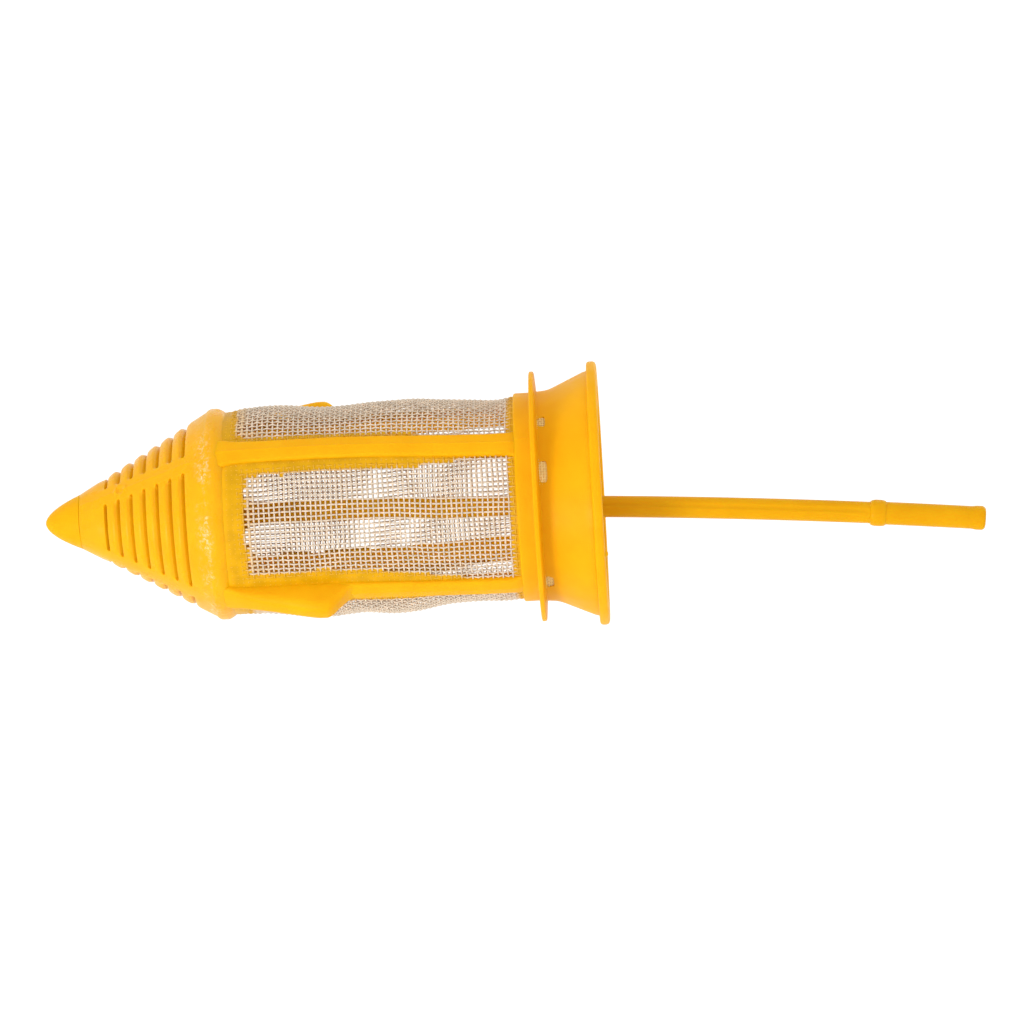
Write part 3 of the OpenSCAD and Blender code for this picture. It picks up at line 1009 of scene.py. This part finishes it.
def rod_radius(s):
    """Radius along the rod: stem, stop collar, grip and end bead."""
    radius = STEM_R if s < STOP_START + STOP_H / 2 else GRIP_R
    off = min(abs(s - STOP_START - STOP_H / 2) / (STOP_H / 2), 1.0)
    radius += (STOP_R - radius) * (1 - off**3) ** 0.6
    if s > STOP_START + STOP_H:
        bead = ROD_LEN - GRIP_END_H
        radius += 0.12 * smooth(s, bead - 0.5, bead + 0.6)
        closing = max(0.0, 1 - (ROD_LEN - s) / ROD_END_H)
        radius -= 0.7 * (1 - math.sqrt(max(0.0, 1 - closing**2)))
    return radius


def make_rod():
    """Bent rod in one piece, fluted up to its stop collar and smooth beyond it."""
    stations = spread(0.0, STOP_START - 0.3, 2.0)
    stations += spread(STOP_START - 0.2, STOP_START + STOP_H + 0.2, 0.1)
    stations += spread(STOP_START + STOP_H + 0.4, ROD_LEN - 3.2, 1.5)
    stations += spread(ROD_LEN - 3.0, ROD_LEN - 0.9, 0.12)
    stations += spread(ROD_LEN - 0.85, ROD_LEN, 0.05)
    sections = []
    for s in stations:
        section = []
        fluted = 1 - smooth(s, STOP_START - 0.8, STOP_START - 0.1)
        for k in range(ROD_SIDES):
            angle = 360 * k / ROD_SIDES
            off = abs((angle - FLUTE_ANGLE + 45) % 90 - 45)
            groove = FLUTE_DEPTH * (1 - smooth(off, 3, FLUTE_HALF)) * fluted
            section.append(rod_point(s, angle, rod_radius(s) - groove))
        sections.append(section)
    points, faces = loft(sections)
    return add_piece("pull_rod", points, faces, rod_yellow, body="rod",
                     replaces=["rod_stem", "stop_collar", "grip", "grip_end"])


# ---------------------------------------------------------------- camera and light
CAMERA_ANGLE = -56.5  # side of the trap that faces the camera
CAMERA_TILT = 1.6  # how far the mouth leans towards the camera
CAMERA_ROLL = 3.2  # how far the mouth end is lifted in the picture
CAMERA_DISTANCE = 880.0
CAMERA_TARGET_Z = -4.15  # height on the axis that is level with the picture's centre
CAMERA_TARGET_DOWN = 2.41  # distance from the axis down to the picture's centre
SENSOR_WIDTH = 36
VIEW_WIDTH = 174.08
WORLD_STRENGTH = 1.14
KEY_DISTANCE = 800.0
KEY_SIZE = 250.0
KEY_POWER = 3.0
FLOOR_R = 1000.0
FLOOR_Z = -650.0
FLOOR_T = 10.0


def add_camera():
    """Camera at the viewing angle. Returns the directions toward it, and right and up in its
    picture."""
    side = polar(1, CAMERA_ANGLE, 0)
    down = polar(1, CAMERA_ANGLE + 90, 0)
    up_axis = Vector((0, 0, 1))
    tilt, roll = math.radians(CAMERA_TILT), math.radians(CAMERA_ROLL)
    toward = side * math.cos(tilt) + up_axis * math.sin(tilt)
    along = up_axis * math.cos(tilt) - side * math.sin(tilt)
    right = along * math.cos(roll) + down * math.sin(roll)
    upward = toward.cross(right)
    target = Vector((0, 0, CAMERA_TARGET_Z)) + down * CAMERA_TARGET_DOWN
    data = bpy.data.cameras.new("camera")
    data.sensor_width = SENSOR_WIDTH
    data.lens = SENSOR_WIDTH * CAMERA_DISTANCE / VIEW_WIDTH
    data.clip_start, data.clip_end = 0.05, 20
    camera = bpy.data.objects.new("camera", data)
    place = Matrix((right, upward, toward)).transposed().to_4x4()
    place.translation = (target + toward * CAMERA_DISTANCE) * MM
    camera.matrix_world = place
    scene.collection.objects.link(camera)
    scene.camera = camera
    return toward, right, upward


def add_area(name, direction, distance, size, power):
    """Square soft light that faces the origin."""
    data = bpy.data.lights.new(name, "AREA")
    data.size = size * MM
    data.energy = power
    lamp = bpy.data.objects.new(name, data)
    lamp.location = direction.normalized() * distance * MM
    lamp.rotation_euler = direction.to_track_quat("Z", "Y").to_euler()
    scene.collection.objects.link(lamp)


def add_studio(toward, right, upward):
    """White room, a soft key low on the nose side of the camera and a pale floor far below."""
    world = bpy.data.worlds.new("studio")
    world.use_nodes = True
    background = world.node_tree.nodes["Background"]
    background.inputs["Color"].default_value = (1, 1, 1, 1)
    background.inputs["Strength"].default_value = WORLD_STRENGTH
    scene.world = world
    scene.view_settings.view_transform = "Standard"
    direction = toward - right * 0.8 - upward * 0.55
    add_area("key", direction, KEY_DISTANCE, KEY_SIZE, KEY_POWER)
    edge = [(0, FLOOR_Z - FLOOR_T), (FLOOR_R, FLOOR_Z - FLOOR_T), (FLOOR_R, FLOOR_Z), (0, FLOOR_Z)]
    points, faces = revolve(edge)
    mesh = bpy.data.meshes.new("floor")
    mesh.from_pydata([p * MM for p in points], [], faces)
    floor = bpy.data.objects.new("floor", mesh)
    material, nodes, links = new_material("pale_floor")
    shader = nodes["Principled BSDF"]
    coords = nodes.new("ShaderNodeTexCoord").outputs["Object"]
    cloud = add_noise(nodes, links, coords, 6, 3)
    colour = add_mix(nodes, links, cloud, (0.80, 0.80, 0.79), (0.76, 0.76, 0.755))
    links.new(colour, shader.inputs["Base Color"])
    shader.inputs["Roughness"].default_value = 0.7
    mesh.materials.append(material)
    scene.collection.objects.link(floor)


add_studio(*add_camera())
make_nose_tip()
make_nose_cone()
make_weld_ring()
make_ribs()
make_latches()
make_mouth()
make_gate_nub()
make_panels()
make_films()
make_rod()
for node, finish in (("rod_socket", moulded), ("rod_foot", rod_yellow)):
    cad_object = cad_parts[node]
    cad_object.data.materials.clear()
    cad_object.data.materials.append(finish)
